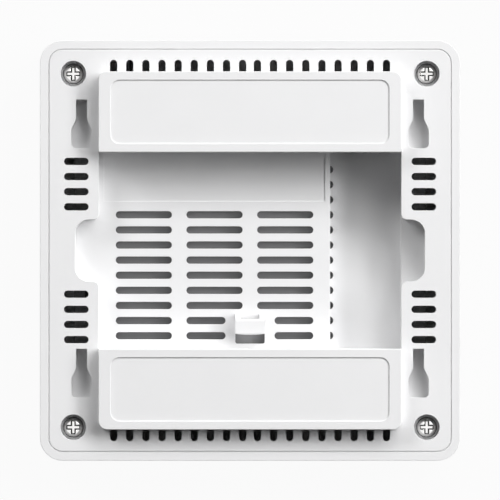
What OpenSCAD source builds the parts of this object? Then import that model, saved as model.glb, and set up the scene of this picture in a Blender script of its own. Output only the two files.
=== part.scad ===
// Square ceiling access point with its ceiling side up.
// Units are millimetres. The front face lies on z = 0 and the ports look along -Y.

/* [Body] */
// side length of the square body
body_w = 200; // [198:1:220]
// corner radius of the body
body_r = 10.8; // [9.5:0.1:13]
// height from the front face to the flat rear plane
body_h = 33; // [31:0.5:38]
// wall thickness of the front cover
cover_t = 2.5; // [2:0.1:3]
// radius of the edge around the front face
edge_r = 7; // [5:0.5:9]
// width of the front cover's rim seen from behind
rim_w = 4.05; // [3.6:0.05:4.8]
// open groove between the rim and the rear cover
seam_gap = 0.5; // [0.3:0.05:0.7]
// depth of that groove
seam_depth = 0.4; // [0.3:0.05:1]
// room between the rear cover's lip and the rim, below the groove
seam_fit = 0.1; // [0.05:0.01:0.2]
// width of the ledge that the rear cover sits on
ledge_w = 2.2; // [1.6:0.1:2.4]
// height of that ledge
ledge_t = 3; // [2:0.5:4]

/* [Rear cover] */
// wall thickness of the rear cover
shell_t = 2; // [1.6:0.1:2.2]
// height of the two standoff platforms over the rear plane
pad_h = 7; // [6:0.5:10]
// width of the platforms and of the cable bay between them
pad_w = 144.2; // [140:0.2:145.4]
// length of each platform from the bay outwards
pad_l = 38.4; // [37.5:0.1:39.2]
// radius of a platform's outer corners
pad_r = 4.2; // [3:0.1:6]
// distance between the two platforms
bay_l = 93.6; // [92:0.2:94.4]
// depth of the bay floor below the rear plane
bay_depth = 11; // [9.5:0.5:12]
// width of the deep plug well on the port side
well_w = 33.9; // [33.4:0.1:35]
// depth of the plug well below the rear plane
well_depth = 21; // [20:0.5:23]
// width of the label recess on each platform
label_w = 132.6; // [120:0.2:136]
// length of the label recess
label_l = 30.4; // [24:0.2:32]
// corner radius of the label recess
label_r = 4.3; // [3:0.1:6]
// depth of the label recess
label_depth = 0.5; // [0.3:0.05:0.8]
// width of the shallow pocket in the bay floor
pocket_w = 105.5; // [90:0.5:106]
// length of that pocket from the upper platform
pocket_l = 23.3; // [15:0.1:24]
// depth of that pocket
pocket_depth = 0.4; // [0.3:0.05:1]
// width of the locating rib under the rear plate
rib_t = 1.2; // [0.8:0.1:1.6]
// height of the locating rib
rib_h = 2.6; // [1.5:0.1:2.8]
// room between the locating rib and the ledge
rib_gap = 0.3; // [0.2:0.05:0.5]

/* [Finger notches] */
// length of each side notch along the bay's edge
notch_l = 29.6; // [24:0.2:34]
// how far a notch reaches outwards
notch_d = 11.2; // [9:0.2:12]
// radius of a notch's far corners
notch_r = 6.6; // [4:0.1:7.5]
// radius of a notch's mouth corners
mouth_r = 2.7; // [2.4:0.1:3.5]

/* [Vents] */
// width of the floor, side and end slots
vent_w = 3.45; // [2.8:0.05:3.8]
// spacing of the slot rows
vent_pitch = 7.21; // [7:0.01:7.3]
// height of the first floor row above the centre
vent_top_y = 17.05; // [15:0.05:18]
// number of floor rows
floor_rows = 9; // [7:1:9]
// length of a floor slot
floor_vent_l = 26.8; // [22:0.1:29]
// spacing of the three floor columns
col_pitch = 33.73; // [33:0.01:34.5]
// number of last rows that are shortened beside the hook
short_rows = 2; // [2:1:3]
// half width kept clear of slots around the hook
hook_clear = 11.7; // [10:0.1:13]
// slot rows of the well's step wall that lie above the first floor row
step_extra = 3; // [1:1:3]
// width of the step wall's slots
step_vent_w = 3.7; // [3:0.05:3.9]
// how far the step wall's slots reach out over the well floor
step_reach = 1.6; // [1:0.05:1.7]
// length of a side slot
side_vent_l = 11.7; // [9:0.1:13]
// distance of the side slots' centre from the body's side
side_vent_inset = 17.25; // [16:0.05:17.6]
// number of side slots in each group
side_rows = 4; // [2:1:4]
// distance of the nearest side slot from the centre line
side_first_y = 20.8; // [19.8:0.1:21.6]
// number of slots in each half of an end row
end_count = 9; // [5:1:9]
// spacing of the end slots
end_pitch = 7.68; // [6.5:0.02:7.8]
// spacing of the two middle end slots
end_middle = 7.04; // [6.5:0.02:7.8]
// how far an end slot reaches past the platform
end_reach = 5.6; // [4:0.1:5.8]
// how far an end slot climbs the platform's wall
end_climb = 2.2; // [1:0.1:2.6]

/* [Keyholes] */
// spacing of the keyholes across the body
key_pitch_x = 160.5; // [160:0.1:164]
// spacing of the keyholes along the body
key_pitch_y = 118.7; // [118:0.1:119.2]
// closed end of the upper keyholes' narrow part
key_top_y = 71.9; // [71.6:0.1:72.4]
// width of the narrow part
key_neck_w = 5.2; // [4.6:0.1:5.8]
// length of the narrow part
key_neck_l = 9.3; // [8:0.1:10]
// length of the tapering shoulders
key_shoulder_l = 4.8; // [3.5:0.1:5.5]
// width of the entry
key_entry_w = 9.8; // [9:0.1:10.4]
// length of the entry
key_entry_l = 9.1; // [8.6:0.1:9.3]
// radius of the entry's end corners
key_r = 2.2; // [1.5:0.1:3]
// room for a screw head behind the plate
key_room = 4.8; // [4:0.1:6]
// wall thickness of the keyhole pockets
key_wall = 1.5; // [1.2:0.1:1.6]
// room around the entry inside a pocket
key_side = 0.5; // [0.3:0.05:0.5]
// room between the front cover and what hangs under the rear plate
under_gap = 0.3; // [0.2:0.05:0.5]

/* [Cable hook] */
// width of the hook
hook_w = 14; // [11:0.2:16]
// position of the hook's legs along the bay
hook_y = -30.2; // [-31:0.1:-29]
// reach of the hook over its hole
hook_l = 10; // [9:0.1:11]
// height of the hook over the bay floor
hook_h = 7.5; // [6.5:0.1:9]
// thickness of the hook
hook_t = 1.8; // [1.4:0.1:2.2]
// radius of the hook's bend
hook_r = 4; // [3:0.1:5]
// width of each leg
hook_leg_w = 2.5; // [2:0.1:3.5]
// length of the window between the legs
hook_window = 2.3; // [1.5:0.1:2.6]
// radius of the bowed free end
hook_bow_r = 49; // [40:1:70]
// length of the hole under the hook that stays open past its free end
hook_hole = 4.2; // [3:0.1:4.4]
// corner radius of that hole
hook_hole_r = 1; // [0.6:0.1:1.5]

/* [Case screws] */
// distance of each screw from the body's sides
screw_inset = 15.8; // [15:0.1:16.4]
// radius of a counterbore at the rear plane
bore_top_r = 6.15; // [5.6:0.05:6.4]
// radius of a counterbore at its floor
bore_low_r = 6; // [5.3:0.05:6.1]
// depth of the counterbore
bore_depth = 6; // [4:0.1:7]
// radius of the sleeve around a counterbore
sleeve_r = 7.7; // [7.5:0.1:8.2]
// thickness under the screw head
sleeve_web = 2; // [1.5:0.1:3]
// radius of a screw head
head_r = 4.9; // [4.2:0.05:5.1]
// height of a screw head
head_h = 3.4; // [2.6:0.1:3.8]
// radius of a screw head's rounded edge
head_edge = 1.3; // [0.6:0.1:1.6]
// radius of the screw's shank
screw_r = 1.75; // [1.5:0.05:2]
// length of the shank
screw_l = 14; // [10:0.5:16]
// width of the cross recess
cross_w = 1.3; // [0.8:0.05:1.6]
// length of the cross recess
cross_l = 7.2; // [5:0.1:7.4]
// depth of the cross recess
cross_depth = 1.6; // [1:0.1:1.9]
// radius of the front cover's screw posts
post_r = 4.2; // [3.6:0.1:5]

/* [Board] */
// distance of the board's edge from the body's side
board_inset = 16; // [15:0.5:18]
// length cut off each board corner
board_cut = 16; // [12:0.5:20]
// thickness of the board
board_t = 1.6; // [1.2:0.1:1.8]
// room between the well's underside and the board
board_gap = 0.4; // [0.3:0.05:0.6]
// distance of the board's own screws from the middle line
board_screw_x = 33; // [32:0.5:34]
// distance of these screws from the board's upper and lower edges
board_screw_inset = 14; // [12:0.5:16]
// radius of the posts under the board
board_post_r = 3; // [2.6:0.1:3.6]
// radius of the board and spreader screws
small_r = 1.25; // [1:0.05:1.5]
// radius of their heads
small_head_r = 2.2; // [2:0.1:2.4]
// height of their heads
small_head_h = 1.7; // [1.4:0.1:2]
// radius of their heads' rounded edge
small_edge = 0.7; // [0.4:0.05:0.9]
// how far a board screw reaches into its post
small_grip = 3; // [2:0.1:3.4]

/* [Heat spreader] */
// room between the plate's side and the well's step wall
spreader_edge = 0.4; // [0.3:0.05:0.8]
// length of the plate
spreader_l = 66; // [64:0.5:68]
// thickness of the plate
spreader_t = 2; // [1.5:0.1:2.3]
// room between the plate and the bay floor's underside
spreader_gap = 2.5; // [2.2:0.1:3]
// distance of the legs from the plate's edges
leg_inset = 3.5; // [3.4:0.1:4]
// radius of the legs
leg_r = 3.2; // [2.8:0.1:3.3]

/* [Chips] */
// side of the processor
cpu_w = 17; // [14:0.5:19]
// height of the processor
cpu_h = 1.6; // [1.2:0.1:2]
// width of a memory chip
mem_w = 9; // [7:0.5:10]
// length of a memory chip
mem_l = 12; // [10:0.5:12.5]
// height of a memory chip
mem_h = 1.1; // [0.8:0.1:1.2]
// distance of the memory chips from the processor
mem_off = 21; // [20:0.5:22]
// distance of the radio sections from the processor
radio_off = 31; // [29:0.5:32]
// side of a radio chip
radio_w = 10; // [8:0.5:12]
// height of a radio chip
radio_h = 0.9; // [0.7:0.1:1.2]
// width of a shield can
can_w = 24; // [20:0.5:26]
// length of a shield can
can_l = 30; // [24:0.5:32]
// height of a shield can
can_h = 2.4; // [2.2:0.1:2.7]
// sheet thickness of a shield can
can_t = 0.3; // [0.2:0.05:0.4]
// thickness of the thermal pads
tim_h = 1; // [0.5:0.1:1.2]
// distance of a thermal pad's edge from what it lies on
tim_inset = 1.5; // [1:0.1:3]

/* [Ports] */
// gap between the well's step wall and the network socket
port_gap = 1.6; // [1.2:0.05:1.8]
// how far the sockets stay behind the wall's face
port_recess = 0.3; // [0.2:0.05:0.6]
// room around the sockets in the wall
port_clear = 0.25; // [0.15:0.05:0.3]
// width of the network socket
lan_w = 16.1; // [15.8:0.05:16.3]
// height of the network socket
lan_h = 13.4; // [13:0.1:14]
// length of the network socket
lan_l = 21.3; // [18:0.1:22]
// sheet thickness of the network socket's shell
lan_t = 0.3; // [0.2:0.05:0.4]
// width of the plug opening
plug_w = 11.9; // [11.7:0.05:12.1]
// height of the plug opening
plug_h = 6.9; // [6.7:0.05:7.1]
// depth of the plug opening
plug_l = 13; // [12:0.1:14]
// height of the plug opening over the board
plug_z = 2.9; // [2.7:0.05:3.1]
// width of the latch slot
latch_w = 6.4; // [6:0.1:7]
// height of the latch slot
latch_h = 2.1; // [1.8:0.1:2.4]
// depth of the latch slot
latch_l = 9; // [8:0.1:10]
// spacing of the contacts
pin_pitch = 1.02; // [1:0.01:1.05]
// number of contacts
pin_count = 8; // [4:2:8]
// width of a contact
pin_w = 0.4; // [0.3:0.05:0.5]
// how far behind the socket's face the contacts begin
pin_start = 4.3; // [3:0.1:5]
// length of a contact's slope
pin_slope = 4.3; // [3:0.1:5]
// height that the contacts rise to over the opening's floor
pin_rise = 2; // [1.5:0.1:2.2]
// length of the network transformer
mag_l = 11; // [9:0.5:11.5]
// height of the network transformer
mag_h = 5.2; // [4:0.1:6]
// gap behind the network socket
mag_gap = 2.6; // [2:0.1:3]
// width of the supply socket
dc_w = 9; // [8.8:0.05:9.2]
// height of the supply socket
dc_h = 11; // [10.6:0.1:11.4]
// length of the supply socket
dc_l = 14; // [12.5:0.1:15]
// radius of the supply socket's bore
dc_bore_r = 3.15; // [2.9:0.05:3.3]
// depth of that bore
dc_bore_l = 9.5; // [8.5:0.1:10.5]
// height of that bore's axis over the board
dc_axis = 6.6; // [6.2:0.1:7]
// radius of the centre pin
dc_pin_r = 1; // [0.8:0.05:1.25]
// how far the centre pin stays behind the socket's face
dc_pin_recess = 1; // [0.5:0.1:2]

// room between a socket's back and its stop rib
stop_gap = 0.4; // [0.3:0.05:0.5]
// thickness of the stop ribs
stop_t = 1.6; // [1.2:0.1:1.6]
// room between the stop ribs and the board
stop_low = 1; // [0.5:0.1:1.5]

/* [Reset button] */
// width of the switch
switch_w = 4.5; // [4.3:0.05:4.6]
// height of the switch
switch_h = 6.4; // [6:0.1:7]
// length of the switch
switch_l = 3.8; // [3.6:0.1:4.4]
// gap between the supply socket and the switch
switch_gap = 0.9; // [0.7:0.05:1.1]
// gap between the wall and the switch
switch_back = 0.3; // [0.2:0.05:0.5]
// height of the button's axis over the board
button_axis = 4.3; // [4.2:0.05:4.4]
// radius of the button
button_r = 1.4; // [1.2:0.05:1.5]
// running clearance around the button
button_fit = 0.06; // [0.04:0.01:0.08]
// room around the button in the wall
button_room = 0.35; // [0.3:0.05:0.4]
// radius of the collar inside the switch
collar_r = 1.75; // [1.65:0.05:1.85]
// thickness of the collar
collar_t = 0.8; // [0.6:0.1:1]
// front wall of the switch
switch_front = 0.8; // [0.6:0.1:1]
// travel of the button
button_travel = 0.4; // [0.25:0.05:0.6]
// room left behind the collar at full travel
button_spare = 0.3; // [0.2:0.05:0.5]

/* [Power parts] */
// side of the transformer core
core_w = 20; // [18:0.5:22]
// length of the transformer core
core_l = 15; // [13:0.5:16]
// height of the transformer core
core_h = 13; // [11:0.5:15]
// thickness of the core's yokes and outer legs
core_t = 3; // [2.5:0.1:3.2]
// width of the core's middle leg
core_mid = 5; // [4:0.1:5.5]
// distance of the power parts' row from the bay's wall
power_inset = 17.2; // [16.2:0.1:18.2]
// spacing between neighbouring power parts
power_pitch = 22; // [21.5:0.1:22.5]
// radius of a capacitor
cap_r = 4; // [3:0.1:4.5]
// height of a capacitor
cap_h = 12; // [10:0.5:16]
// side of an inductor
coil_w = 8; // [6:0.5:9]
// height of an inductor
coil_h = 4.2; // [3:0.1:5]
// half the spacing of the capacitors and inductors along the board
pair_off = 6.5; // [5.5:0.1:7]

/* [Indicator] */
// width of the indicator lamp
led_w = 3.2; // [2:0.1:3.5]
// height of the indicator lamp
led_h = 0.8; // [0.6:0.1:1]
// radius of the light pipe
pipe_r = 2.2; // [1.5:0.1:3]
// radius of the light pipe's flange
flange_pipe_r = 3.6; // [3.2:0.1:4.5]
// thickness of that flange
flange_pipe_t = 1; // [0.8:0.1:1.4]
// clearance around the light pipe
pipe_fit = 0.06; // [0.04:0.01:0.1]
// room between the light pipe and the lamp
pipe_gap = 0.3; // [0.2:0.05:0.5]

/* [Antennas] */
// length of an antenna strip
ant_l = 46; // [40:1:56]
// height of an antenna strip
ant_h = 9.4; // [9:0.1:11]
// thickness of an antenna strip
ant_t = 0.8; // [0.6:0.05:1]
// distance of the strips from the body's side
ant_inset = 7.5; // [7.3:0.1:8.5]
// clearance of a strip in its clips
ant_fit = 0.06; // [0.04:0.01:0.1]
// height of a strip over the front cover's inner face
ant_rest = 1; // [0.6:0.1:1.5]
// side of a clip block
clip_w = 4; // [3.4:0.1:4.4]
// height of a clip block
clip_h = 6; // [4:0.1:7]
// share of the strip's length between the two clips
clip_share = 0.8; // [0.6:0.05:0.9]
// radius of the coaxial leads
lead_r = 0.6; // [0.5:0.05:0.7]
// bend radius of the leads
lead_bend = 4; // [3:0.1:4.5]
// position of the upper strip's middle along the body's side
upper_x = -48; // [-52:1:-46]
// distance of a lead's feed from the middle of its strip
feed_off = 9; // [7:0.5:11]
// length of the left lead's second run
left_run = 8; // [6:0.5:9]
// distance of the right lead from the well's wall
lead_off = 3; // [2:0.1:4]
// length of the right lead's run along the well
right_run = 42; // [40:0.5:44]
// length of the right lead's last run
right_end = 20; // [16:0.5:22]
// length of the upper and lower leads' last run
end_run = 10; // [8:0.5:12]
// how far a lead runs in from its strip before it bends
feed_run = 10; // [9:0.5:10.5]
// how far the upper and lower leads run in before they bend
deep_run = 16; // [14:0.5:17]
// side of a coaxial socket
sock_w = 2.6; // [2:0.1:3]
// height of a coaxial socket
sock_h = 0.5; // [0.4:0.05:0.8]
// radius of a coaxial plug
cplug_r = 1.5; // [1.2:0.1:1.8]
// height of a coaxial plug
cplug_h = 1.5; // [1.4:0.1:2]
// length of a coaxial plug's tail
tail_l = 2.4; // [2:0.1:3]

/* [Hidden] */
$fn = 48;
cut = 1;
sink = 0.5;
arc_steps = 10;
thread_gap = 0.05;
hole_gap = 0.25;
z_pad = body_h + pad_h;
z_plate = body_h - shell_t;
z_bay = body_h - bay_depth;
z_bay_low = z_bay - shell_t;
z_well = body_h - well_depth;
z_well_low = z_well - shell_t;
board_top = z_well_low - board_gap;
board_z = board_top - board_t;
board_w = body_w - 2 * board_inset;
flange_w = body_w - 2 * (rim_w + seam_gap);
flange_r = body_r - rim_w - seam_gap;
ledge_in_w = flange_w - 2 * ledge_w;
ledge_in_r = flange_r - ledge_w;
pad_y = bay_l / 2 + pad_l / 2;
pad_end = bay_l / 2 + pad_l;
step_x = pad_w / 2 - well_w;
floor_x = (step_x - pad_w / 2) / 2;
screw_pos = body_w / 2 - screw_inset;
head_z = body_h - bore_depth;
sleeve_z = head_z - sleeve_web;
key_l = key_neck_l + key_shoulder_l + key_entry_l;
key_z = z_plate - key_room;
pocket_in_w = key_entry_w + 2 * key_side;
pocket_in_l = key_l + 2 * key_side;
port_y = bay_l / 2 + port_recess;
lan_x = step_x + port_gap + lan_w / 2;
dc_x = lan_x + lan_w / 2 + port_gap + dc_w / 2;
button_x = dc_x + dc_w / 2 + switch_gap + switch_w / 2;
switch_y = bay_l / 2 + shell_t + switch_back;
button_z = board_top + button_axis;
vent_mid_y = vent_top_y - (floor_rows - 1) * vent_pitch / 2;
spreader_top = z_bay_low - spreader_gap;
spreader_z = spreader_top - spreader_t;
spreader_w = pad_w - well_w - 2 * (shell_t + spreader_edge);
leg_x = spreader_w / 2 - leg_inset;
leg_y = spreader_l / 2 - leg_inset;
tim_cpu_top = board_top + cpu_h + tim_h;
tim_can_top = board_top + can_h + tim_h;
power_y = bay_l / 2 + shell_t + power_inset;
ant_pos = body_w / 2 - ant_inset;
ant_z = cover_t + ant_rest;
lead_z = board_top + sock_h + cplug_h / 2;
led_z = board_z - led_h;
left_feed = [-ant_pos + ant_t / 2, -feed_off];
right_feed = [ant_pos - ant_t / 2, -feed_off];
upper_feed = [upper_x - feed_off, ant_pos - ant_t / 2];
lower_feed = [feed_off, -ant_pos + ant_t / 2];
left_steps = [[feed_run, -1], [left_run, 0]];
right_in = right_feed[0] - lead_bend - (pad_w / 2 + shell_t + lead_off);
right_steps = [[right_in, 1], [right_run, -1], [right_end, 0]];
lower_steps = [[deep_run, -1], [end_run, 0]];
upper_steps = [[deep_run, 1], [end_run, 0]];

function arc(c, r, from, to) =
    [for (i = [0:arc_steps]) c + r * [cos(from + (to - from) * i / arc_steps),
        sin(from + (to - from) * i / arc_steps)]];

// Flat outlines

module rounded_rect(w, l, r) {
    square([w - 2 * r, l], center = true);
    square([w, l - 2 * r], center = true);
    for (x = [-1, 1], y = [-1, 1])
        translate([x * (w / 2 - r), y * (l / 2 - r)])
            circle(r = r);
}

module slot(l, w) {
    square([l - w, w], center = true);
    for (x = [-1, 1])
        translate([x * (l - w) / 2, 0])
            circle(r = w / 2);
}

module edge_profile(r, e, h) {
    difference() {
        square([r, h]);
        difference() {
            translate([r - e, -cut])
                square([e + cut, e + cut]);
            translate([r - e, e])
                circle(r = e);
        }
    }
}

module notch_outline(grow) {
    x0 = pad_w / 2 + grow;
    x1 = pad_w / 2 + notch_d + grow;
    y1 = notch_l / 2 + grow;
    m = mouth_r - grow;
    r = notch_r + grow;
    polygon(concat(
        [[x0 - well_w / 2, -y1 - m]],
        arc([x0 + m, -y1 - m], m, 180, 90),
        arc([x1 - r, -y1 + r], r, -90, 0),
        arc([x1 - r, y1 - r], r, 0, 90),
        arc([x0 + m, y1 + m], m, 270, 180),
        [[x0 - well_w / 2, y1 + m]]));
}

module bay_outline(grow) {
    square([pad_w + 2 * grow, bay_l + 2 * grow], center = true);
    notch_outline(grow);
    mirror([1, 0])
        notch_outline(grow);
}

module well_outline(grow) {
    translate([step_x - grow, -bay_l / 2 - grow])
        square([well_w + 2 * grow, bay_l + 2 * grow]);
}

module pad_outline(inset) {
    x = pad_w / 2 - inset;
    y0 = bay_l / 2 + inset;
    y1 = pad_end - inset;
    r = pad_r - inset;
    polygon(concat([[-x, y0], [x, y0]],
        arc([x - r, y1 - r], r, 0, 90),
        arc([-x + r, y1 - r], r, 90, 180)));
}

module key_outline() {
    n = key_neck_w / 2;
    w = key_entry_w / 2;
    y1 = -key_neck_l;
    y2 = y1 - key_shoulder_l;
    polygon(concat([[n, 0], [-n, 0], [-n, y1], [-w, y2]],
        arc([-w + key_r, -key_l + key_r], key_r, 180, 270),
        arc([w - key_r, -key_l + key_r], key_r, 270, 360),
        [[w, y2], [n, y1]]));
}

module at_keys() {
    for (x = [-1, 1], y = [0, 1])
        translate([x * key_pitch_x / 2, key_top_y - y * key_pitch_y])
            children();
}

module at_corners(p) {
    for (x = [-1, 1], y = [-1, 1])
        translate([x * p, y * p])
            children();
}

module at_board_screws() {
    for (x = [-1, 1], y = [-1, 1])
        translate([x * board_screw_x, y * (board_w / 2 - board_screw_inset)])
            children();
}

module at_legs() {
    for (x = [-1, 1], y = [-1, 1])
        translate([floor_x + x * leg_x, vent_mid_y + y * leg_y])
            children();
}

module at_ends() {
    for (s = [0, 1])
        mirror([0, s])
            children();
}

module at_sides() {
    for (s = [0, 1])
        mirror([s, 0])
            children();
}

// Shapes that several parts share

module soft_slab(w, r, e, h) {
    s = w - 2 * r;
    translate([-s / 2, -s / 2, 0])
        cube([s, s, h]);
    for (a = [0:90:270])
        rotate(a) {
            translate([s / 2, s / 2, 0])
                rotate([90, 0, 0])
                    linear_extrude(s)
                        edge_profile(r, e, h);
            translate([s / 2, s / 2, 0])
                rotate_extrude(angle = 90)
                    edge_profile(r, e, h);
        }
}

module pan_screw(hr, hh, he, sr, sl, cw, cl, cd) {
    difference() {
        rotate_extrude() {
            square([hr, hh - he]);
            square([hr - he, hh]);
            translate([hr - he, hh - he])
                circle(r = he);
        }
        for (a = [0, 90])
            rotate(a)
                translate([-cl / 2, -cw / 2, hh - cd])
                    cube([cl, cw, hh]);
    }
    translate([0, 0, -sl])
        cylinder(r = sr, h = sl);
}

module block(x, y, z, w, l, h) {
    translate([x - w / 2, y - l / 2, z])
        cube([w, l, h]);
}

module lead_run(steps, i = 0) {
    run = steps[i][0];
    turn = steps[i][1];
    rotate([0, 90, 0])
        cylinder(r = lead_r, h = run);
    if (turn != 0)
        translate([run, 0, 0])
            mirror([0, turn < 0 ? 1 : 0]) {
                translate([0, lead_bend, 0])
                    rotate(-90)
                        rotate_extrude(angle = 90)
                            translate([lead_bend, 0])
                                circle(r = lead_r);
                translate([lead_bend, lead_bend, 0])
                    rotate(90)
                        mirror([0, turn < 0 ? 1 : 0])
                            lead_run(steps, i + 1);
            }
}

module at_lead_end(steps, i = 0) {
    turn = steps[i][1];
    translate([steps[i][0], 0, 0])
        if (turn == 0)
            children();
        else
            translate([lead_bend, turn * lead_bend, 0])
                rotate(turn * 90)
                    at_lead_end(steps, i + 1)
                        children();
}

module at_left_feed() {
    translate([left_feed[0], left_feed[1], lead_z])
        children();
}

module at_right_feed() {
    translate([right_feed[0], right_feed[1], lead_z])
        rotate(180)
            children();
}

module at_upper_feed() {
    translate([upper_feed[0], upper_feed[1], lead_z])
        rotate(-90)
            children();
}

module at_lower_feed() {
    translate([lower_feed[0], lower_feed[1], lead_z])
        rotate(90)
            children();
}

module at_lead_ends() {
    at_left_feed()
        at_lead_end(left_steps)
            children();
    at_right_feed()
        at_lead_end(right_steps)
            children();
    at_upper_feed()
        at_lead_end(upper_steps)
            children();
    at_lower_feed()
        at_lead_end(lower_steps)
            children();
}

module at_antennas() {
    translate([-ant_pos, 0])
        children();
    translate([ant_pos, 0])
        children();
    translate([upper_x, ant_pos])
        rotate(90)
            children();
    translate([0, -ant_pos])
        rotate(90)
            children();
}

// Covers

module cover_tray() {
    cavity_w = body_w - 2 * cover_t;
    cavity_h = z_plate - ledge_t - cover_t;
    difference() {
        soft_slab(body_w, body_r, edge_r, body_h);
        translate([0, 0, cover_t])
            soft_slab(cavity_w, body_r - cover_t, edge_r - cover_t, cavity_h);
        translate([0, 0, cover_t + cavity_h / 2])
            linear_extrude(body_h)
                rounded_rect(ledge_in_w, ledge_in_w, ledge_in_r);
        at_keys()
            translate([0, -key_l / 2, 0])
                key_block(key_wall + under_gap, key_room + shell_t);
        translate([0, 0, z_bay_low - under_gap])
            linear_extrude(body_h)
                bay_outline(shell_t + under_gap);
        translate([0, 0, z_plate])
            linear_extrude(body_h)
                rounded_rect(flange_w + 2 * seam_gap, flange_w + 2 * seam_gap, flange_r + seam_gap);
    }
}

module antenna_clip() {
    difference() {
        block(0, 0, cover_t - sink, clip_w, clip_w, clip_h + sink);
        block(0, 0, ant_z, ant_t + 2 * ant_fit, clip_w + 2 * cut, clip_h);
    }
}

module front_cover() {
    post_h = sleeve_z - cover_t + sink;
    small_h = board_z - cover_t + sink;
    color("white")
        difference() {
            union() {
                cover_tray();
                translate([0, 0, cover_t - sink]) {
                    at_corners(screw_pos)
                        cylinder(r = post_r, h = post_h);
                    at_board_screws()
                        cylinder(r = board_post_r, h = small_h);
                    at_legs()
                        cylinder(r = board_post_r, h = small_h);
                }
                at_antennas()
                    for (y = [-1, 1])
                        translate([0, y * clip_share * ant_l / 2, 0])
                            antenna_clip();
            }
            translate([0, 0, head_z - screw_l - cut])
                at_corners(screw_pos)
                    cylinder(r = screw_r + thread_gap, h = screw_l + cut);
            translate([0, 0, board_z - small_grip])
                at_board_screws()
                    cylinder(r = small_r + thread_gap, h = small_grip + cut);
            translate([0, 0, board_z - small_grip])
                at_legs()
                    cylinder(r = small_r + thread_gap, h = small_grip + cut);
            translate([0, 0, -cut])
                cylinder(r = pipe_r + pipe_fit, h = cover_t + 2 * cut);
        }
}

module plate_2d() {
    side_x = body_w / 2 - side_vent_inset;
    difference() {
        rounded_rect(flange_w, flange_w, flange_r);
        bay_outline(0);
        at_ends()
            pad_outline(shell_t);
        at_sides()
            for (i = [0:side_rows - 1], y = [-1, 1])
                translate([side_x, y * (side_first_y + i * vent_pitch)])
                    slot(side_vent_l, vent_w);
        at_keys()
            key_outline();
    }
}

module seam_lip_2d() {
    lip = seam_gap - seam_fit;
    difference() {
        rounded_rect(flange_w + 2 * lip, flange_w + 2 * lip, flange_r + lip);
        rounded_rect(flange_w - 2 * sink, flange_w - 2 * sink, flange_r - sink);
    }
}

module floor_pair(short) {
    a0 = floor_x - floor_vent_l / 2;
    a1 = short ? -hook_clear : floor_x + floor_vent_l / 2;
    b0 = short ? hook_clear : floor_x + col_pitch - floor_vent_l / 2;
    b1 = floor_x + col_pitch + floor_vent_l / 2;
    translate([(a0 + a1) / 2, 0])
        slot(a1 - a0, vent_w);
    translate([(b0 + b1) / 2, 0])
        slot(b1 - b0, vent_w);
}

module hook_hole_2d() {
    y0 = hook_y - hook_window;
    y1 = hook_y - hook_l - hook_hole;
    translate([0, (y0 + y1) / 2])
        rounded_rect(hook_w, y0 - y1, hook_hole_r);
}

module hook_profile() {
    inner = hook_r - hook_t;
    tip = hook_t / 2;
    polygon(concat([[0, -sink]],
        arc([hook_r, hook_h - hook_r], hook_r, 180, 90),
        arc([hook_l - tip, hook_h - tip], tip, 90, -90),
        arc([hook_r, hook_h - hook_r], inner, 90, 180),
        [[hook_t, -sink]]));
}

module hook() {
    window_w = hook_w - 2 * hook_leg_w;
    difference() {
        intersection() {
            translate([-hook_w / 2, hook_y, z_bay])
                rotate([90, 0, -90])
                    mirror([0, 0, 1])
                        linear_extrude(hook_w)
                            hook_profile();
            translate([0, hook_y - hook_l + hook_bow_r, z_bay - cut])
                cylinder(r = hook_bow_r, h = hook_h + 2 * cut);
        }
        translate([-window_w / 2, hook_y - hook_window, z_bay - cut])
            cube([window_w, hook_window + cut, hook_h + 2 * cut]);
    }
}

module key_block(grow, h) {
    w = pocket_in_w + 2 * grow;
    l = pocket_in_l + 2 * grow;
    block(0, 0, key_z - grow, w, l, h + grow);
}

module key_pocket() {
    translate([0, -key_l / 2, 0])
        difference() {
            key_block(key_wall, key_room + sink);
            key_block(0, key_room);
            translate([0, key_l / 2, z_plate - cut])
                linear_extrude(shell_t + 2 * cut)
                    key_outline();
        }
}

module end_vent() {
    y0 = pad_end - shell_t - cut;
    y1 = pad_end + end_reach - vent_w / 2;
    translate([0, 0, z_plate - cut])
        linear_extrude(shell_t + 2 * cut) {
            translate([-vent_w / 2, y0])
                square([vent_w, y1 - y0]);
            translate([0, y1])
                circle(r = vent_w / 2);
        }
    translate([0, pad_end + cut, z_plate - cut])
        rotate([90, 0, 0])
            linear_extrude(shell_t + 2 * cut)
                wall_slot_2d(vent_w, shell_t + end_climb + cut);
}

module wall_slot_2d(w, h) {
    translate([-w / 2, 0])
        square([w, h]);
    translate([0, h])
        circle(r = w / 2);
}

module step_vent() {
    x0 = step_x - shell_t - cut;
    c = step_x + step_reach - step_vent_w / 2;
    translate([0, 0, z_well_low - cut])
        linear_extrude(shell_t + 2 * cut) {
            translate([x0, -step_vent_w / 2])
                square([c - x0, step_vent_w]);
            translate([c, 0])
                circle(r = step_vent_w / 2);
        }
    translate([x0, 0, z_well])
        rotate([90, 0, 90])
            linear_extrude(shell_t + 2 * cut)
                wall_slot_2d(step_vent_w, z_bay_low - step_vent_w - z_well);
}

module port_cuts() {
    depth = shell_t + cut;
    translate([lan_x - lan_w / 2 - port_clear, bay_l / 2, board_top - cut])
        cube([lan_w + 2 * port_clear, depth, lan_h + port_clear + cut]);
    translate([dc_x - dc_w / 2 - port_clear, bay_l / 2, board_top - cut])
        cube([dc_w + 2 * port_clear, depth, dc_h + port_clear + cut]);
    translate([button_x, bay_l / 2 + depth, button_z])
        rotate([90, 0, 0])
            cylinder(r = button_r + button_room, h = depth + cut);
}

module socket_stop(x, w, l) {
    low = board_top + stop_low;
    high = z_pad - shell_t + sink;
    block(x, port_y + l + stop_gap + stop_t / 2, low, w, stop_t, high - low);
}

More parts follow.
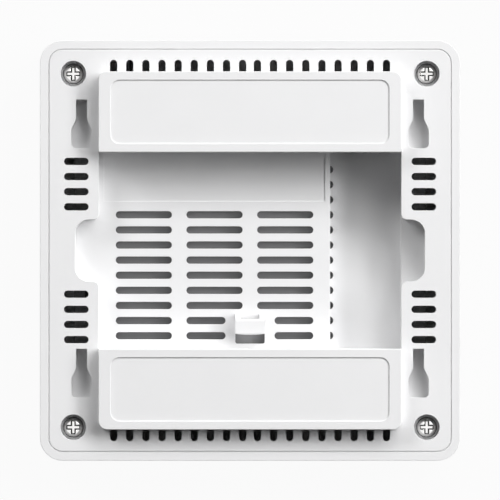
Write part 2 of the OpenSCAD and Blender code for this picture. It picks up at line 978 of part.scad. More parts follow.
module tub() {
    difference() {
        union() {
            translate([0, 0, z_bay_low])
                linear_extrude(bay_depth + shell_t)
                    bay_outline(shell_t);
            translate([0, 0, z_well_low])
                linear_extrude(well_depth + shell_t)
                    well_outline(shell_t);
            at_ends()
                translate([0, 0, z_plate])
                    linear_extrude(pad_h + shell_t)
                        pad_outline(0);
        }
        translate([0, 0, z_bay])
            linear_extrude(bay_depth + pad_h + cut)
                bay_outline(0);
        translate([0, 0, z_well])
            linear_extrude(well_depth + pad_h + cut)
                well_outline(0);
        at_ends()
            translate([0, 0, z_plate - cut])
                linear_extrude(pad_h + cut)
                    pad_outline(shell_t);
    }
}

module floor_cuts() {
    translate([0, 0, z_bay_low - cut])
        linear_extrude(shell_t + 2 * cut) {
            for (i = [0:floor_rows - 1])
                translate([0, vent_top_y - i * vent_pitch]) {
                    translate([floor_x - col_pitch, 0])
                        slot(floor_vent_l, vent_w);
                    floor_pair(i >= floor_rows - short_rows);
                }
            hook_hole_2d();
        }
}

module rear_cover() {
    inner = (step_x + pad_w / 2 - pocket_w) / 2;
    color("whitesmoke")
        union() {
            difference() {
                union() {
                    translate([0, 0, z_plate])
                        linear_extrude(shell_t)
                            plate_2d();
                    translate([0, 0, z_plate])
                        linear_extrude(shell_t - seam_depth)
                            seam_lip_2d();
                    tub();
                    translate([0, 0, sleeve_z])
                        at_corners(screw_pos)
                            cylinder(r = sleeve_r, h = bore_depth + sleeve_web);
                    translate([0, 0, z_plate - rib_h])
                        linear_extrude(rib_h + sink)
                            locating_rib_2d();
                    at_keys()
                        key_pocket();
                    socket_stop(lan_x, lan_w, lan_l);
                    socket_stop(dc_x, dc_w, dc_l);
                }
                floor_cuts();
                translate([-pad_w / 2 + inner, bay_l / 2 - pocket_l, z_bay - pocket_depth])
                    cube([pocket_w, pocket_l, pocket_depth + cut]);
                at_ends()
                    translate([0, pad_y, z_pad - label_depth])
                        linear_extrude(label_depth + cut)
                            rounded_rect(label_w, label_l, label_r);
                at_ends()
                    for (i = [0:end_count - 1], x = [-1, 1])
                        translate([x * (end_middle / 2 + i * end_pitch), 0, 0])
                            end_vent();
                for (i = [-step_extra:floor_rows - 1])
                    translate([0, vent_top_y - i * vent_pitch, 0])
                        step_vent();
                port_cuts();
                at_corners(screw_pos)
                    counterbore();
            }
            hook();
        }
}

module counterbore() {
    rotate_extrude()
        polygon([[0, head_z], [bore_low_r, head_z], [bore_top_r, body_h], [bore_top_r, z_pad + cut],
            [0, z_pad + cut]]);
    translate([0, 0, sleeve_z - cut])
        cylinder(r = screw_r + hole_gap, h = sleeve_web + 2 * cut);
}

module locating_rib_2d() {
    w = ledge_in_w - 2 * rib_gap;
    r = ledge_in_r - rib_gap;
    difference() {
        rounded_rect(w, w, r);
        rounded_rect(w - 2 * rib_t, w - 2 * rib_t, r - rib_t);
    }
}

module cover_screws() {
    color("silver")
        translate([0, 0, head_z])
            at_corners(screw_pos)
                pan_screw(head_r, head_h, head_edge, screw_r, screw_l, cross_w, cross_l, cross_depth);
}

module light_pipe() {
    color("lightcyan") {
        cylinder(r = pipe_r, h = led_z - pipe_gap);
        translate([0, 0, cover_t])
            cylinder(r = flange_pipe_r, h = flange_pipe_t);
    }
}

// Board and cooling

module main_board() {
    h = board_w / 2;
    c = h - board_cut;
    color("darkgreen")
        translate([0, 0, board_z])
            linear_extrude(board_t)
                difference() {
                    polygon([[h, -c], [h, c], [c, h], [-c, h], [-h, c], [-h, -c], [-c, -h], [c, -h]]);
                    at_board_screws()
                        circle(r = small_r + hole_gap);
                    at_legs()
                        circle(r = small_r + hole_gap);
                }
}

module board_screws() {
    color("silver")
        translate([0, 0, board_top])
            at_board_screws()
                small_screw(board_t + small_grip);
}

module small_screw(l) {
    pan_screw(small_head_r, small_head_h, small_edge, small_r, l, small_r / 2, small_head_r,
        small_head_h / 2);
}

module heat_spreader() {
    color("lightgray")
        difference() {
            union() {
                block(floor_x, vent_mid_y, spreader_z, spreader_w, spreader_l, spreader_t);
                translate([0, 0, board_top])
                    at_legs()
                        cylinder(r = leg_r, h = spreader_z - board_top + sink);
                block(floor_x, vent_mid_y, tim_cpu_top, cpu_w, cpu_w, spreader_z - tim_cpu_top + sink);
                for (x = [-1, 1])
                    block(floor_x + x * radio_off, vent_mid_y, tim_can_top, can_w, can_l,
                        spreader_z - tim_can_top + sink);
            }
            translate([0, 0, board_top - cut])
                at_legs()
                    cylinder(r = small_r + hole_gap, h = spreader_top - board_top + 2 * cut);
        }
}

module spreader_screws() {
    color("silver")
        translate([0, 0, spreader_top])
            at_legs()
                small_screw(spreader_top - board_z + small_grip);
}

module processor() {
    color("dimgray")
        block(floor_x, vent_mid_y, board_top, cpu_w, cpu_w, cpu_h);
}

module memory_chips() {
    color("dimgray")
        for (y = [-1, 1])
            block(floor_x, vent_mid_y + y * mem_off, board_top, mem_w, mem_l, mem_h);
}

module radio_chips() {
    color("dimgray")
        for (x = [-1, 1])
            block(floor_x + x * radio_off, vent_mid_y, board_top, radio_w, radio_w, radio_h);
}

module shield_cans() {
    color("lightsteelblue")
        for (x = [-1, 1])
            translate([floor_x + x * radio_off, vent_mid_y, 0])
                difference() {
                    block(0, 0, board_top, can_w, can_l, can_h);
                    block(0, 0, board_top - cut, can_w - 2 * can_t, can_l - 2 * can_t, can_h - can_t + cut);
                }
}

module thermal_pads() {
    color("lightpink") {
        block(floor_x, vent_mid_y, board_top + cpu_h, cpu_w - 2 * tim_inset, cpu_w - 2 * tim_inset, tim_h);
        for (x = [-1, 1])
            block(floor_x + x * radio_off, vent_mid_y, board_top + can_h, can_w - 2 * tim_inset,
                can_l - 2 * tim_inset, tim_h);
    }
}

// Ports

module lan_jack_shell() {
    color("gainsboro")
        translate([lan_x, port_y + lan_l / 2, board_top])
            difference() {
                block(0, 0, 0, lan_w, lan_l, lan_h);
                block(0, -lan_t, -cut, lan_w - 2 * lan_t, lan_l, lan_h - lan_t + cut);
            }
}

module lan_jack_insert() {
    color("dimgray")
        translate([lan_x, port_y, board_top])
            difference() {
                translate([-lan_w / 2 + lan_t, 0, 0])
                    cube([lan_w - 2 * lan_t, lan_l - lan_t, lan_h - lan_t]);
                translate([-plug_w / 2, -cut, plug_z])
                    cube([plug_w, plug_l + cut, plug_h]);
                translate([-latch_w / 2, -cut, plug_z + plug_h - sink])
                    cube([latch_w, latch_l + cut, latch_h + sink]);
            }
}

module lan_jack_contacts() {
    y0 = pin_start;
    y1 = pin_start + pin_slope;
    color("gold")
        for (i = [0:pin_count - 1])
            translate([lan_x + (i - (pin_count - 1) / 2) * pin_pitch - pin_w / 2, port_y, board_top + plug_z])
                rotate([90, 0, 90])
                    linear_extrude(pin_w)
                        polygon([[y0, 0], [y0 + pin_w, 0], [y1 + pin_w, pin_rise], [y1, pin_rise]]);
}

module lan_transformer() {
    color("dimgray")
        block(lan_x, port_y + lan_l + mag_gap + mag_l / 2, board_top, lan_w - pin_pitch, mag_l, mag_h);
}

module dc_jack_housing() {
    color("dimgray")
        difference() {
            block(dc_x, port_y + dc_l / 2, board_top, dc_w, dc_l, dc_h);
            translate([dc_x, port_y + dc_bore_l, board_top + dc_axis])
                rotate([90, 0, 0])
                    cylinder(r = dc_bore_r, h = dc_bore_l + cut);
        }
}

module dc_jack_pin() {
    color("silver")
        translate([dc_x, port_y + dc_bore_l, board_top + dc_axis])
            rotate([90, 0, 0])
                cylinder(r = dc_pin_r, h = dc_bore_l - dc_pin_recess);
}

module reset_switch() {
    room = collar_t + button_travel + button_spare;
    color("dimgray")
        difference() {
            block(button_x, switch_y + switch_l / 2, board_top, switch_w, switch_l, switch_h);
            translate([button_x, switch_y + switch_front, button_z])
                rotate([90, 0, 0])
                    cylinder(r = button_r + button_fit, h = switch_front + cut);
            translate([button_x, switch_y + switch_front + room, button_z])
                rotate([90, 0, 0])
                    cylinder(r = collar_r + button_fit, h = room);
        }
}

module reset_button() {
    reach = switch_y + switch_front - bay_l / 2 - port_recess;
    color("white")
        translate([button_x, switch_y + switch_front, button_z]) {
            rotate([90, 0, 0])
                cylinder(r = button_r, h = reach);
            rotate([-90, 0, 0])
                cylinder(r = collar_r, h = collar_t);
        }
}

// Power parts

module core_block(grow) {
    window_w = (core_w - core_mid) / 2 - core_t;
    for (x = [-1, 1])
        block(x * (core_mid + window_w) / 2, 0, core_t, window_w, core_l + 2 * grow, core_h - 2 * core_t);
}

module poe_core() {
    color("dimgray")
        translate([0, power_y, board_top])
            difference() {
                block(0, 0, 0, core_w, core_l, core_h);
                core_block(cut);
            }
}

module poe_winding() {
    wind = (core_w - core_mid) / 2 - core_t;
    z = core_h - 2 * core_t;
    color("peru")
        translate([0, power_y, board_top + core_t])
            difference() {
                block(0, 0, 0, core_mid + 2 * wind, core_l + 2 * wind, z);
                block(0, 0, -cut, core_mid, core_l, z + 2 * cut);
            }
}

module bulk_capacitors() {
    color("slategray")
        for (y = [-1, 1])
            translate([-power_pitch, power_y + y * pair_off, board_top])
                cylinder(r = cap_r, h = cap_h);
}

module power_inductors() {
    color("dimgray")
        for (y = [-1, 1])
            block(power_pitch, power_y + y * pair_off, board_top, coil_w, coil_w, coil_h);
}

module status_led() {
    color("lightgreen")
        block(0, 0, led_z, led_w, led_w / 2, led_h);
}

// Antennas

module strip() {
    color("darkolivegreen")
        block(0, 0, ant_z, ant_t, ant_l, ant_h);
}

module antenna_left() {
    translate([-ant_pos, 0])
        strip();
}

module antenna_right() {
    translate([ant_pos, 0])
        strip();
}

module antenna_upper() {
    translate([upper_x, ant_pos])
        rotate(90)
            strip();
}

module antenna_lower() {
    translate([0, -ant_pos])
        rotate(90)
            strip();
}

module lead_left() {
    color("black")
        at_left_feed()
            lead_run(left_steps);
}

module lead_right() {
    color("black")
        at_right_feed()
            lead_run(right_steps);
}

module lead_upper() {
    color("black")
        at_upper_feed()
            lead_run(upper_steps);
}

module lead_lower() {
    color("black")
        at_lower_feed()
            lead_run(lower_steps);
}

module coax_plugs() {
    color("gold")
        at_lead_ends() {
            translate([tail_l + cplug_r / 2, 0, -cplug_h / 2])
                cylinder(r = cplug_r, h = cplug_h);
            translate([0, -cplug_h / 2, -cplug_h / 2])
                cube([tail_l, cplug_h, cplug_h]);
        }
}

module coax_sockets() {
    color("gold")
        at_lead_ends()
            translate([tail_l + cplug_r / 2 - sock_w / 2, -sock_w / 2, -cplug_h / 2 - sock_h])
                cube([sock_w, sock_w, sock_h]);
}

front_cover();
rear_cover();
cover_screws();
light_pipe();
main_board();
board_screws();
heat_spreader();
spreader_screws();
processor();
memory_chips();
radio_chips();
shield_cans();
thermal_pads();
lan_jack_shell();
lan_jack_insert();
lan_jack_contacts();
lan_transformer();
dc_jack_housing();
dc_jack_pin();
reset_switch();
reset_button();
poe_core();
poe_winding();
bulk_capacitors();
power_inductors();
status_led();
antenna_left();
antenna_right();
antenna_upper();
antenna_lower();
lead_left();
lead_right();
lead_upper();
lead_lower();
coax_plugs();
coax_sockets();
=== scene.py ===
import math

import bmesh
import bpy
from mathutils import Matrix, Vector


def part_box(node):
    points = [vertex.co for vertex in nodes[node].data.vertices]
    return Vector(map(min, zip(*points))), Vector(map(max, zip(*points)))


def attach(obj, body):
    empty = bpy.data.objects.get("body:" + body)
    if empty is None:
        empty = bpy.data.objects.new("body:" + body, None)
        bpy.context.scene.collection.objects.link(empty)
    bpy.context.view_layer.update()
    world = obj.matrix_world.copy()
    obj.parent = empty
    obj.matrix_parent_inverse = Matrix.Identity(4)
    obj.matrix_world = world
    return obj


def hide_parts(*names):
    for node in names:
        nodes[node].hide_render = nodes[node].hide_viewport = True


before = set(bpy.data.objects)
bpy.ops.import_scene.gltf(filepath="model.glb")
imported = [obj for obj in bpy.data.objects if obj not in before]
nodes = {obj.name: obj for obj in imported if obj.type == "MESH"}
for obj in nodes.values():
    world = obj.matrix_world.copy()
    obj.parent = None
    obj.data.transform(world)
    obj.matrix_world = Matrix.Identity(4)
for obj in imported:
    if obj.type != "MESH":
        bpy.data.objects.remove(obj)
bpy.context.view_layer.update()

# Everything is in metres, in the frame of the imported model: the ceiling side is up, the ports look along -Y
MM = 0.001

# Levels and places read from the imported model
REAR_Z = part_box("front_cover")[1].z
PAD_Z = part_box("rear_cover")[1].z
SCREW_LOW, SCREW_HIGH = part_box("cover_screws")

# Heights below the rear plane
BAY_DEPTH = 11 * MM
POCKET_DEPTH = 0.4 * MM
BAY_Z = REAR_Z - BAY_DEPTH

# Label recess on each platform
LABEL_HALF_W = 66.3 * MM
LABEL_HALF_L = 15.2 * MM
PAD_MID_Y = 66 * MM
LABEL_SLACK = 0.2 * MM

# Bay walls, and the strip beside them that takes up the ends of the platforms' rounded edges
BAY_HALF_L = 46.8 * MM
STEP_X = 38.2 * MM
END_STRIP = 3 * MM

# Edge radii of the mouldings, and how edges are told apart and rounded
PAD_EDGE = 0.35 * MM
LABEL_EDGE = 0.12 * MM
PLANE_EDGE = 0.08 * MM
FLOOR_EDGE = 0.1 * MM
STEP_EDGE = 0.12 * MM
RIM_EDGE = 0.2 * MM
SMALL_EDGE = 0.12 * MM
EDGE_STEPS = 3
ROUND_PROFILE = 0.5
SIDEWAYS = 0.99
SHARP_ANGLE = math.radians(40)
FLAT_ANGLE = math.radians(0.5)
WELD_GAP = 1e-6
LEVEL_GAP = 1e-5

# Case screws: a slightly domed face, a sloping flank and a steep foot, with a cross recess in the face
HEAD_R = 4.9 * MM
HEAD_H = 3.4 * MM
FACE_R = 3.0 * MM
FACE_DOME_R = 20 * MM
FLANK_R = 4.6 * MM
FLANK_SLOPE = 1.0
FLANK_FOOT = 3.6
FLANK_SOFT = 0.3 * MM
CROSS_FLOOR_W = 0.52 * MM
CROSS_FLOOR_L = 2.8 * MM
CROSS_WALL = 0.75 * MM
CROSS_END = 0.8 * MM
CROSS_DEPTH = 1.7 * MM
SHANK_R = 1.75 * MM
THREAD_DEPTH = 0.3 * MM
THREAD_PITCH = 1.4 * MM
THREAD_STEPS = 8
HEAD_GRID = 72
RIM_PER_SHANK = 8

# Camera: straight above the rear plane, as wide as the photograph's frame there
VIEW_W = 238.1 * MM
CAMERA_UP = 6.0
CAMERA_Y = 0.26 * MM
SENSOR_MM = 36

# Light: large soft panels from the right round to the upper left, each with its bearing and height in degrees
# and its power in watts
LAMPS = {
    "right": (15, 31, 105),
    "key": (45, 31, 63),
    "upper": (75, 31, 44),
    "left": (135, 31, 64),
    "top": (45, 50, 25),
}
LAMP_WIDTH = 2.0
LAMP_LENGTH = 1.2
LAMP_DISTANCE = 4.0
AMBIENT = 0.04

# Floor: its grey where it bounces light, and the share of white where it is looked at
FLOOR_SIZE = 6.0
FLOOR_GREY = 0.35
FLOOR_GRAIN = 60
FLOOR_WHITE = 0.95

# Finishes: where a texture's ramp starts and ends, and the grain's scale, depth and coarser colour clouds
RAMP_LOW = 0.3
RAMP_HIGH = 0.7
GRAIN = 900
GRAIN_DEPTH = 0.02 * MM
GRAINS_PER_CLOUD = 25
BUMP_STRENGTH = 0.35

# Circuit board: faint traces between patches of solder mask
TRACE_SCALE = 120
TRACE_GAP = 0.03
BOARD_GRAIN = 700
BOARD_ROUGH = (0.3, 0.42)
BOARD_TONES = {
    "Color1": (0.2, 0.2, 0.204, 1),
    "Color2": (0.22, 0.22, 0.225, 1),
    "Mortar": (0.28, 0.28, 0.285, 1),
}

# Copper winding
TURN_SCALE = 700
TURN_WOBBLE = 0.6
WINDING_DARK = (0.2, 0.06, 0.025)
WINDING_LIGHT = (0.55, 0.22, 0.1)
WINDING_GRAIN = 400
WINDING_ROUGH = (0.25, 0.4)
WINDING_METAL = 0.6

# Light guide
CLEAR_SHARE = 0.7


# Node helpers

def new_material(name):
    mat = bpy.data.materials.new(name)
    mat.use_nodes = True
    return mat, mat.node_tree, mat.node_tree.nodes["Principled BSDF"]


def coordinates(tree, stretch=(1, 1, 1)):
    point = tree.nodes.new("ShaderNodeTexCoord")
    mapping = tree.nodes.new("ShaderNodeMapping")
    mapping.inputs["Scale"].default_value = stretch
    tree.links.new(point.outputs["Object"], mapping.inputs["Vector"])
    return mapping.outputs["Vector"]


def noise(tree, vector, scale, detail=3):
    node = tree.nodes.new("ShaderNodeTexNoise")
    node.inputs["Scale"].default_value = scale
    node.inputs["Detail"].default_value = detail
    tree.links.new(vector, node.inputs["Vector"])
    return node.outputs["Fac"]


def between(tree, value, low, high):
    node = tree.nodes.new("ShaderNodeMapRange")
    node.inputs["From Min"].default_value = RAMP_LOW
    node.inputs["From Max"].default_value = RAMP_HIGH
    node.inputs["To Min"].default_value = low
    node.inputs["To Max"].default_value = high
    tree.links.new(value, node.inputs["Value"])
    return node.outputs["Result"]


def two_tone(tree, value, dark, light):
    node = tree.nodes.new("ShaderNodeValToRGB")
    first, last = node.color_ramp.elements
    first.position, last.position = RAMP_LOW, RAMP_HIGH
    first.color = (*dark, 1)
    last.color = (*light, 1)
    tree.links.new(value, node.inputs["Fac"])
    return node.outputs["Color"]


def finish(name, colour, vary, rough, metal=0.0, shine=0.5, scale=GRAIN, stretch=(1, 1, 1)):
    """A surface with fine grain in its roughness and height, and coarser clouds in its colour."""
    mat, tree, shader = new_material(name)
    vector = coordinates(tree, stretch)
    grain = noise(tree, vector, scale)
    cloud = noise(tree, vector, scale / GRAINS_PER_CLOUD)
    dark = [c * (1 - vary) for c in colour]
    light = [min(1.0, c * (1 + vary)) for c in colour]
    tree.links.new(two_tone(tree, cloud, dark, light), shader.inputs["Base Color"])
    tree.links.new(between(tree, grain, *rough), shader.inputs["Roughness"])
    shader.inputs["Metallic"].default_value = metal
    shader.inputs["Specular IOR Level"].default_value = shine
    bump = tree.nodes.new("ShaderNodeBump")
    bump.inputs["Strength"].default_value = BUMP_STRENGTH
    bump.inputs["Distance"].default_value = GRAIN_DEPTH
    tree.links.new(grain, bump.inputs["Height"])
    tree.links.new(bump.outputs["Normal"], shader.inputs["Normal"])
    return mat


def paint_shade_on_steep(mat, dark, full, none):
    """Paints shade into a finish's colour on steep walls, where shade falls in recesses and round a screw's
    head.

    The upward part of the surface's normal decides: fully dark below full, not at all above none.
    """
    tree = mat.node_tree
    colour = tree.nodes["Principled BSDF"].inputs["Base Color"]
    facing = tree.nodes.new("ShaderNodeTexCoord")
    split = tree.nodes.new("ShaderNodeSeparateXYZ")
    ramp = tree.nodes.new("ShaderNodeValToRGB")
    mix = tree.nodes.new("ShaderNodeMixRGB")
    first, last = ramp.color_ramp.elements
    first.position, last.position = full, none
    first.color = (dark, dark, dark, 1)
    mix.blend_type = "MULTIPLY"
    mix.inputs["Fac"].default_value = 1
    tree.links.new(facing.outputs["Normal"], split.inputs["Vector"])
    tree.links.new(split.outputs["Z"], ramp.inputs["Fac"])
    tree.links.new(colour.links[0].from_socket, mix.inputs["Color1"])
    tree.links.new(ramp.outputs["Color"], mix.inputs["Color2"])
    tree.links.new(mix.outputs["Color"], colour)
    return mat


def board_finish():
    """Grey solder mask with faint traces under it."""
    mat, tree, shader = new_material("board")
    vector = coordinates(tree)
    trace = tree.nodes.new("ShaderNodeTexBrick")
    trace.inputs["Scale"].default_value = TRACE_SCALE
    trace.inputs["Mortar Size"].default_value = TRACE_GAP
    for part, tone in BOARD_TONES.items():
        trace.inputs[part].default_value = tone
    tree.links.new(vector, trace.inputs["Vector"])
    tree.links.new(trace.outputs["Color"], shader.inputs["Base Color"])
    grain = noise(tree, vector, BOARD_GRAIN)
    tree.links.new(between(tree, grain, *BOARD_ROUGH), shader.inputs["Roughness"])
    return mat


def winding_finish():
    """Enamelled copper wire, laid turn beside turn."""
    mat, tree, shader = new_material("winding")
    vector = coordinates(tree)
    turns = tree.nodes.new("ShaderNodeTexWave")
    turns.bands_direction = "Z"
    turns.inputs["Scale"].default_value = TURN_SCALE
    turns.inputs["Distortion"].default_value = TURN_WOBBLE
    tree.links.new(vector, turns.inputs["Vector"])
    tone = two_tone(tree, turns.outputs["Fac"], WINDING_DARK, WINDING_LIGHT)
    tree.links.new(tone, shader.inputs["Base Color"])
    grain = noise(tree, vector, WINDING_GRAIN)
    tree.links.new(between(tree, grain, *WINDING_ROUGH), shader.inputs["Roughness"])
    shader.inputs["Metallic"].default_value = WINDING_METAL
    return mat


def clear_finish():
    """Slightly milky light guide."""
    mat = finish("clear_plastic", colour=(0.9, 0.95, 0.95), vary=0.01, rough=(0.15, 0.25))
    shader = mat.node_tree.nodes["Principled BSDF"]
    shader.inputs["Transmission Weight"].default_value = CLEAR_SHARE
    return mat


def screw_finish():
    """Plated steel with painted shade on the steep walls of the cross recess and around the head."""
    steel = finish("plated_steel", colour=(0.9, 0.89, 0.88), vary=0.04, rough=(0.16, 0.3), metal=1.0,
                   scale=2500)
    # The darkening of the steep walls is painted shade in the steel's colour, not a colour the steel has
    return paint_shade_on_steep(steel, dark=0.03, full=0.45, none=0.84)


PLAIN_FINISHES = {
    "white_plastic": dict(colour=(0.81, 0.81, 0.815), vary=0.006, rough=(0.46, 0.58), shine=0.25, scale=1500),
    "bare_aluminium": dict(colour=(0.24, 0.24, 0.245), vary=0.08, rough=(0.45, 0.6), metal=0.4, scale=1200,
                           stretch=(0.05, 1, 1)),
    "chip": dict(colour=(0.025, 0.025, 0.027), vary=0.2, rough=(0.45, 0.6), scale=2500),
    "tinned_steel": dict(colour=(0.68, 0.68, 0.67), vary=0.06, rough=(0.22, 0.36), metal=1.0, scale=1800),
    "pad": dict(colour=(0.42, 0.36, 0.38), vary=0.08, rough=(0.7, 0.85), scale=1200),
    "black_plastic": dict(colour=(0.02, 0.02, 0.021), vary=0.15, rough=(0.4, 0.55), scale=1500),
    "contact": dict(colour=(0.9, 0.66, 0.28), vary=0.05, rough=(0.16, 0.28), metal=1.0, scale=2500),
    "ferrite": dict(colour=(0.05, 0.05, 0.052), vary=0.25, rough=(0.6, 0.75), scale=1000),
    "capacitor_can": dict(colour=(0.03, 0.04, 0.06), vary=0.15, rough=(0.3, 0.42)),
    "lead": dict(colour=(0.03, 0.03, 0.03), vary=0.15, rough=(0.45, 0.6), scale=2000),
}

FINISHES = {name: finish(name, **look) for name, look in PLAIN_FINISHES.items()}
FINISHES["plated_steel"] = screw_finish()
FINISHES["clear_plastic"] = clear_finish()
FINISHES["board"] = board_finish()
FINISHES["winding"] = winding_finish()

# Blackened plugs, unlike the gold contacts whose packed material they share
OTHER_FINISH = {"coax_plugs": "lead"}


# Pieces

def place(name, bm, body, slot, *replaced):
    """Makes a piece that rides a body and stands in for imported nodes."""
    mesh = bpy.data.meshes.new(name)
    bm.to_mesh(mesh)
    bm.free()
    mesh.materials.append(FINISHES[slot])
    for face in mesh.polygons:
        face.use_smooth = True
    mesh.set_sharp_from_angle(angle=SHARP_ANGLE)
    piece = bpy.data.objects.new(name, mesh)
    bpy.context.scene.collection.objects.link(piece)
    normals = piece.modifiers.new("even_shading", "WEIGHTED_NORMAL")
    normals.keep_sharp = True
    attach(piece, body)
    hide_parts(*replaced)
    return piece


def welded(node):
    """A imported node's mesh with its facets joined to whole faces."""
    bm = bmesh.new()
    bm.from_mesh(nodes[node].data)
    bmesh.ops.remove_doubles(bm, verts=bm.verts, dist=WELD_GAP)
    bmesh.ops.dissolve_limit(bm, angle_limit=FLAT_ANGLE, verts=bm.verts, edges=bm.edges)
    return bm


def split_end_walls(bm):
    """Cuts the platforms' end walls beside the bay, so that the rounded edges there end in a small face."""
    for side in (-1, 1):
        walls = [f for f in bm.faces if abs(f.normal.x) > SIDEWAYS and f.calc_center_median().z > REAR_Z
                 and side * f.calc_center_median().y > BAY_HALF_L]
        parts = {part for f in walls for part in (*f.verts, *f.edges, f)}
        cut = (0, side * (BAY_HALF_L + END_STRIP), 0)
        bmesh.ops.bisect_plane(bm, geom=list(parts), plane_co=cut, plane_no=(0, 1, 0), dist=WELD_GAP)


def round_edges(bm, width, wanted):
    """Rounds each outward corner edge that wanted() picks."""
    picked = [e for e in bm.edges
              if e.is_manifold and e.calc_face_angle_signed(0) > SHARP_ANGLE and wanted(e)]
    bmesh.ops.bevel(bm, geom=picked, offset=width, offset_type="OFFSET", segments=EDGE_STEPS,
                    profile=ROUND_PROFILE, affect="EDGES", clamp_overlap=False, loop_slide=False, material=-1)


def on_level(edge, z):
    return all(abs(v.co.z - z) < LEVEL_GAP for v in edge.verts)


def middle(edge):
    return (edge.verts[0].co + edge.verts[1].co) / 2


def in_label(edge):
    m = middle(edge)
    return (abs(m.x) < LABEL_HALF_W + LABEL_SLACK
            and abs(abs(m.y) - PAD_MID_Y) < LABEL_HALF_L + LABEL_SLACK)


def on_step(edge):
    return all(abs(v.co.x - STEP_X) < LEVEL_GAP for v in edge.verts)


def rear_cover():
    bm = welded("rear_cover")
    split_end_walls(bm)
    round_edges(bm, PAD_EDGE, lambda e: on_level(e, PAD_Z) and not in_label(e))
    round_edges(bm, LABEL_EDGE, lambda e: on_level(e, PAD_Z) and in_label(e))
    round_edges(bm, PLANE_EDGE, lambda e: on_level(e, REAR_Z))
    round_edges(bm, FLOOR_EDGE, lambda e: on_level(e, BAY_Z) and not on_step(e))
    round_edges(bm, STEP_EDGE, lambda e: on_level(e, BAY_Z) and on_step(e))
    round_edges(bm, FLOOR_EDGE, lambda e: on_level(e, BAY_Z - POCKET_DEPTH))
    return place("rear_housing", bm, "housing", "white_plastic", "rear_cover")


def front_cover():
    bm = welded("front_cover")
    round_edges(bm, RIM_EDGE, lambda e: on_level(e, REAR_Z))
    return place("front_housing", bm, "housing", "white_plastic", "front_cover")


def small_piece(name, node, slot):
    bm = welded(node)
    round_edges(bm, SMALL_EDGE, lambda e: True)
    return place(name, bm, "housing", slot, node)


def cross_depth(x, y):
    """How deep the cross recess is at a point of the screw's face."""
    across = (min(abs(x), abs(y)) - CROSS_FLOOR_W) / CROSS_WALL
    along = (max(abs(x), abs(y)) - CROSS_FLOOR_L) / CROSS_END
    return CROSS_DEPTH * max(0, 1 - max(0, across, along))


def head_height(x, y):
    """How high the screw's head is at a point, above its underside."""
    r = math.hypot(x, y)
    past = max(r - FACE_R, 0)
    dome = r * r / (2 * FACE_DOME_R)
    flank = FLANK_SLOPE * (math.hypot(past, FLANK_SOFT) - FLANK_SOFT)
    foot = FLANK_FOOT * max(r - FLANK_R, 0)
    return HEAD_H - max(dome + flank + foot, cross_depth(x, y))


def head_grid(bm, x0, y0, z0):
    """The screw's face as a square grid drawn out to a disk; returns the disk's rim."""
    grid = []
    for j in range(HEAD_GRID + 1):
        v = 2 * j / HEAD_GRID - 1
        row = []
        for i in range(HEAD_GRID + 1):
            u = 2 * i / HEAD_GRID - 1
            x = HEAD_R * u * math.sqrt(1 - v * v / 2)
            y = HEAD_R * v * math.sqrt(1 - u * u / 2)
            row.append(bm.verts.new((x0 + x, y0 + y, z0 + head_height(x, y))))
        grid.append(row)
    for j in range(HEAD_GRID):
        for i in range(HEAD_GRID):
            bm.faces.new((grid[j][i], grid[j][i + 1], grid[j + 1][i + 1], grid[j + 1][i]))
    last = HEAD_GRID
    return ([grid[0][i] for i in range(last)] + [grid[j][last] for j in range(last)]
            + [grid[last][i] for i in range(last, 0, -1)] + [grid[j][0] for j in range(last, 0, -1)])


def join_rings(bm, upper, lower):
    """Faces between two rings, where the upper one may have several points to each of the lower one's."""
    many = len(upper) // len(lower)
    for k in range(len(lower)):
        top = [upper[(k * many + i) % len(upper)] for i in range(many, -1, -1)]
        bm.faces.new(top + [lower[k], lower[(k + 1) % len(lower)]])


def add_screw(bm, x0, y0, z0):
    """One case screw with its thread, its head's underside at z0."""

    def ring(turns, radius, z, thread=0.0):
        made = []
        for turn in turns:
            share = ((z0 - z) / THREAD_PITCH + turn / math.tau) % 1
            r = radius - thread * abs(2 * share - 1)
            made.append(bm.verts.new((x0 + r * math.cos(turn), y0 + r * math.sin(turn), z)))
        return made

    rim = head_grid(bm, x0, y0, z0)
    turns = [math.atan2(v.co.y - y0, v.co.x - x0) for v in rim]
    under = ring(turns, HEAD_R, z0)
    join_rings(bm, rim, under)
    turns = turns[::RIM_PER_SHANK]
    loop = ring(turns, SHANK_R, z0)
    join_rings(bm, under, loop)
    shank_l = z0 - SCREW_LOW.z
    steps = round(shank_l / THREAD_PITCH * THREAD_STEPS)
    for k in range(steps):
        below = ring(turns, SHANK_R, z0 - shank_l * (k + 1) / steps, THREAD_DEPTH)
        join_rings(bm, loop, below)
        loop = below
    bm.faces.new(loop)


def case_screws():
    bm = bmesh.new()
    at = SCREW_HIGH.x - HEAD_R
    for x in (-at, at):
        for y in (-at, at):
            add_screw(bm, x, y, SCREW_HIGH.z - HEAD_H)
    bmesh.ops.recalc_face_normals(bm, faces=bm.faces)
    return place("case_screws", bm, "housing", "plated_steel", "cover_screws")


def dress_nodes():
    """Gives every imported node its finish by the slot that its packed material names."""
    for name, node in nodes.items():
        slot = node.data.materials[0].name.split(".")[0]
        node.data.materials[0] = FINISHES[OTHER_FINISH.get(name, slot)]


# Stage, light and camera

def white_rays(tree):
    """1 for rays that look at the background: straight, mirrored or through something clear."""
    path = tree.nodes.new("ShaderNodeLightPath")
    first = tree.nodes.new("ShaderNodeMath")
    second = tree.nodes.new("ShaderNodeMath")
    first.operation = second.operation = "MAXIMUM"
    tree.links.new(path.outputs["Is Camera Ray"], first.inputs[0])
    tree.links.new(path.outputs["Is Glossy Ray"], first.inputs[1])
    tree.links.new(first.outputs["Value"], second.inputs[0])
    tree.links.new(path.outputs["Is Transmission Ray"], second.inputs[1])
    return second.outputs["Value"]


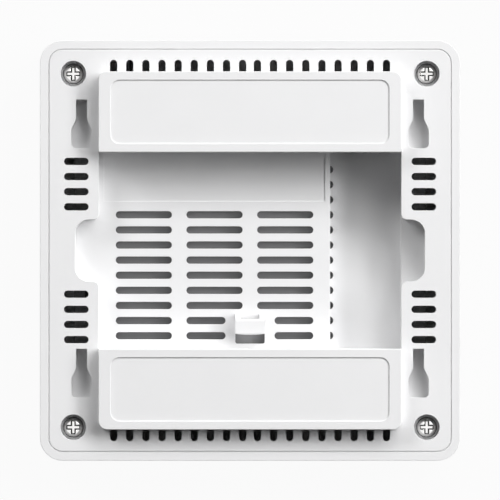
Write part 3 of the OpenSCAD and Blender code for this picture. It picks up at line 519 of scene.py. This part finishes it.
def make_floor():
    half = FLOOR_SIZE / 2
    mesh = bpy.data.meshes.new("floor")
    corners = [(-half, -half, 0), (half, -half, 0), (half, half, 0), (-half, half, 0)]
    mesh.from_pydata(corners, [], [(0, 1, 2, 3)])
    grey = (FLOOR_GREY, FLOOR_GREY, FLOOR_GREY)
    mat = finish("floor", colour=grey, vary=0.01, rough=(0.7, 0.85), scale=FLOOR_GRAIN)
    tree = mat.node_tree
    shader = tree.nodes["Principled BSDF"]
    glow = tree.nodes.new("ShaderNodeEmission")
    mix = tree.nodes.new("ShaderNodeMixShader")
    share = tree.nodes.new("ShaderNodeMath")
    share.operation = "MULTIPLY"
    share.inputs[1].default_value = FLOOR_WHITE
    tree.links.new(white_rays(tree), share.inputs[0])
    tree.links.new(share.outputs["Value"], mix.inputs["Fac"])
    tree.links.new(shader.outputs["BSDF"], mix.inputs[1])
    tree.links.new(glow.outputs["Emission"], mix.inputs[2])
    tree.links.new(mix.outputs["Shader"], tree.nodes["Material Output"].inputs["Surface"])
    mesh.materials.append(mat)
    floor = bpy.data.objects.new("floor", mesh)
    bpy.context.scene.collection.objects.link(floor)


def make_world():
    world = bpy.data.worlds.new("studio")
    bpy.context.scene.world = world
    world.use_nodes = True
    tree = world.node_tree
    light = tree.nodes["Background"]
    light.inputs["Color"].default_value = (1, 1, 1, 1)
    light.inputs["Strength"].default_value = AMBIENT
    white = tree.nodes.new("ShaderNodeBackground")
    white.inputs["Color"].default_value = (1, 1, 1, 1)
    white.inputs["Strength"].default_value = 1
    mix = tree.nodes.new("ShaderNodeMixShader")
    tree.links.new(white_rays(tree), mix.inputs["Fac"])
    tree.links.new(light.outputs["Background"], mix.inputs[1])
    tree.links.new(white.outputs["Background"], mix.inputs[2])
    tree.links.new(mix.outputs["Shader"], tree.nodes["World Output"].inputs["Surface"])


def make_lamps():
    for name, (bearing, height, power) in LAMPS.items():
        data = bpy.data.lights.new(name, "AREA")
        data.shape = "ELLIPSE"
        data.size = LAMP_WIDTH
        data.size_y = LAMP_LENGTH
        data.energy = power
        lamp = bpy.data.objects.new(name, data)
        az, el = math.radians(bearing), math.radians(height)
        way = Vector((math.cos(az) * math.cos(el), math.sin(az) * math.cos(el), math.sin(el)))
        lamp.location = way * LAMP_DISTANCE
        lamp.rotation_euler = way.to_track_quat("Z", "Y").to_euler()
        bpy.context.scene.collection.objects.link(lamp)


def make_camera():
    data = bpy.data.cameras.new("camera")
    data.sensor_width = SENSOR_MM
    data.lens = SENSOR_MM * CAMERA_UP / VIEW_W
    camera = bpy.data.objects.new("camera", data)
    camera.location = (0, CAMERA_Y, REAR_Z + CAMERA_UP)
    bpy.context.scene.collection.objects.link(camera)
    bpy.context.scene.camera = camera


dress_nodes()
rear_cover()
front_cover()
case_screws()
small_piece("network_socket_shell", "lan_jack_shell", "tinned_steel")
small_piece("network_socket_insert", "lan_jack_insert", "black_plastic")
small_piece("supply_socket", "dc_jack_housing", "black_plastic")
make_floor()
make_world()
make_lamps()
make_camera()
bpy.context.scene.view_settings.view_transform = "Standard"
